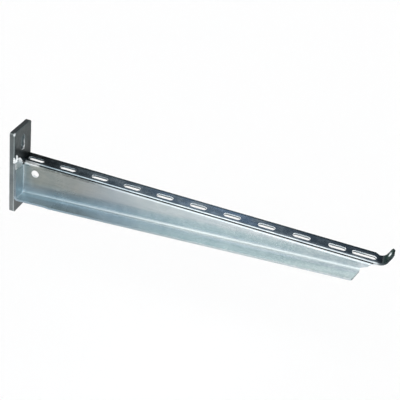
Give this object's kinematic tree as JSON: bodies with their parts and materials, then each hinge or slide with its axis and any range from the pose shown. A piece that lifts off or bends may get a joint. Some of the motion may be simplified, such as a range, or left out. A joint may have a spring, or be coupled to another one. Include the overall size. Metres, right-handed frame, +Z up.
{
  "type": "cable tray bracket",
  "caption": "Zinc-plated steel cantilever bracket: a slotted wall plate with a tapered, flanged arm that carries a cable tray.",
  "frame": {"origin": "on the wall face of the plate, on its vertical centre line, level with the top face of the arm", "axes": "+X from the wall to the arm's tip, +Y to the side of the top flange, +Z up"},
  "size_m": [0.5499, 0.053, 0.133],
  "materials": {
    "plate_zinc": "bright zinc plated flat bar, slightly dull",
    "sheet_zinc": "bright zinc plated sheet, glossy with a bluish passivation",
    "weld_zinc": "zinc plated weld bead, lumpy and bright"
  },
  "bodies": {
    "root": {"head_plate": "plate_zinc", "arm": "sheet_zinc", "top_weld": "weld_zinc", "rear_weld": "weld_zinc"}
  },
  "joints": []
}
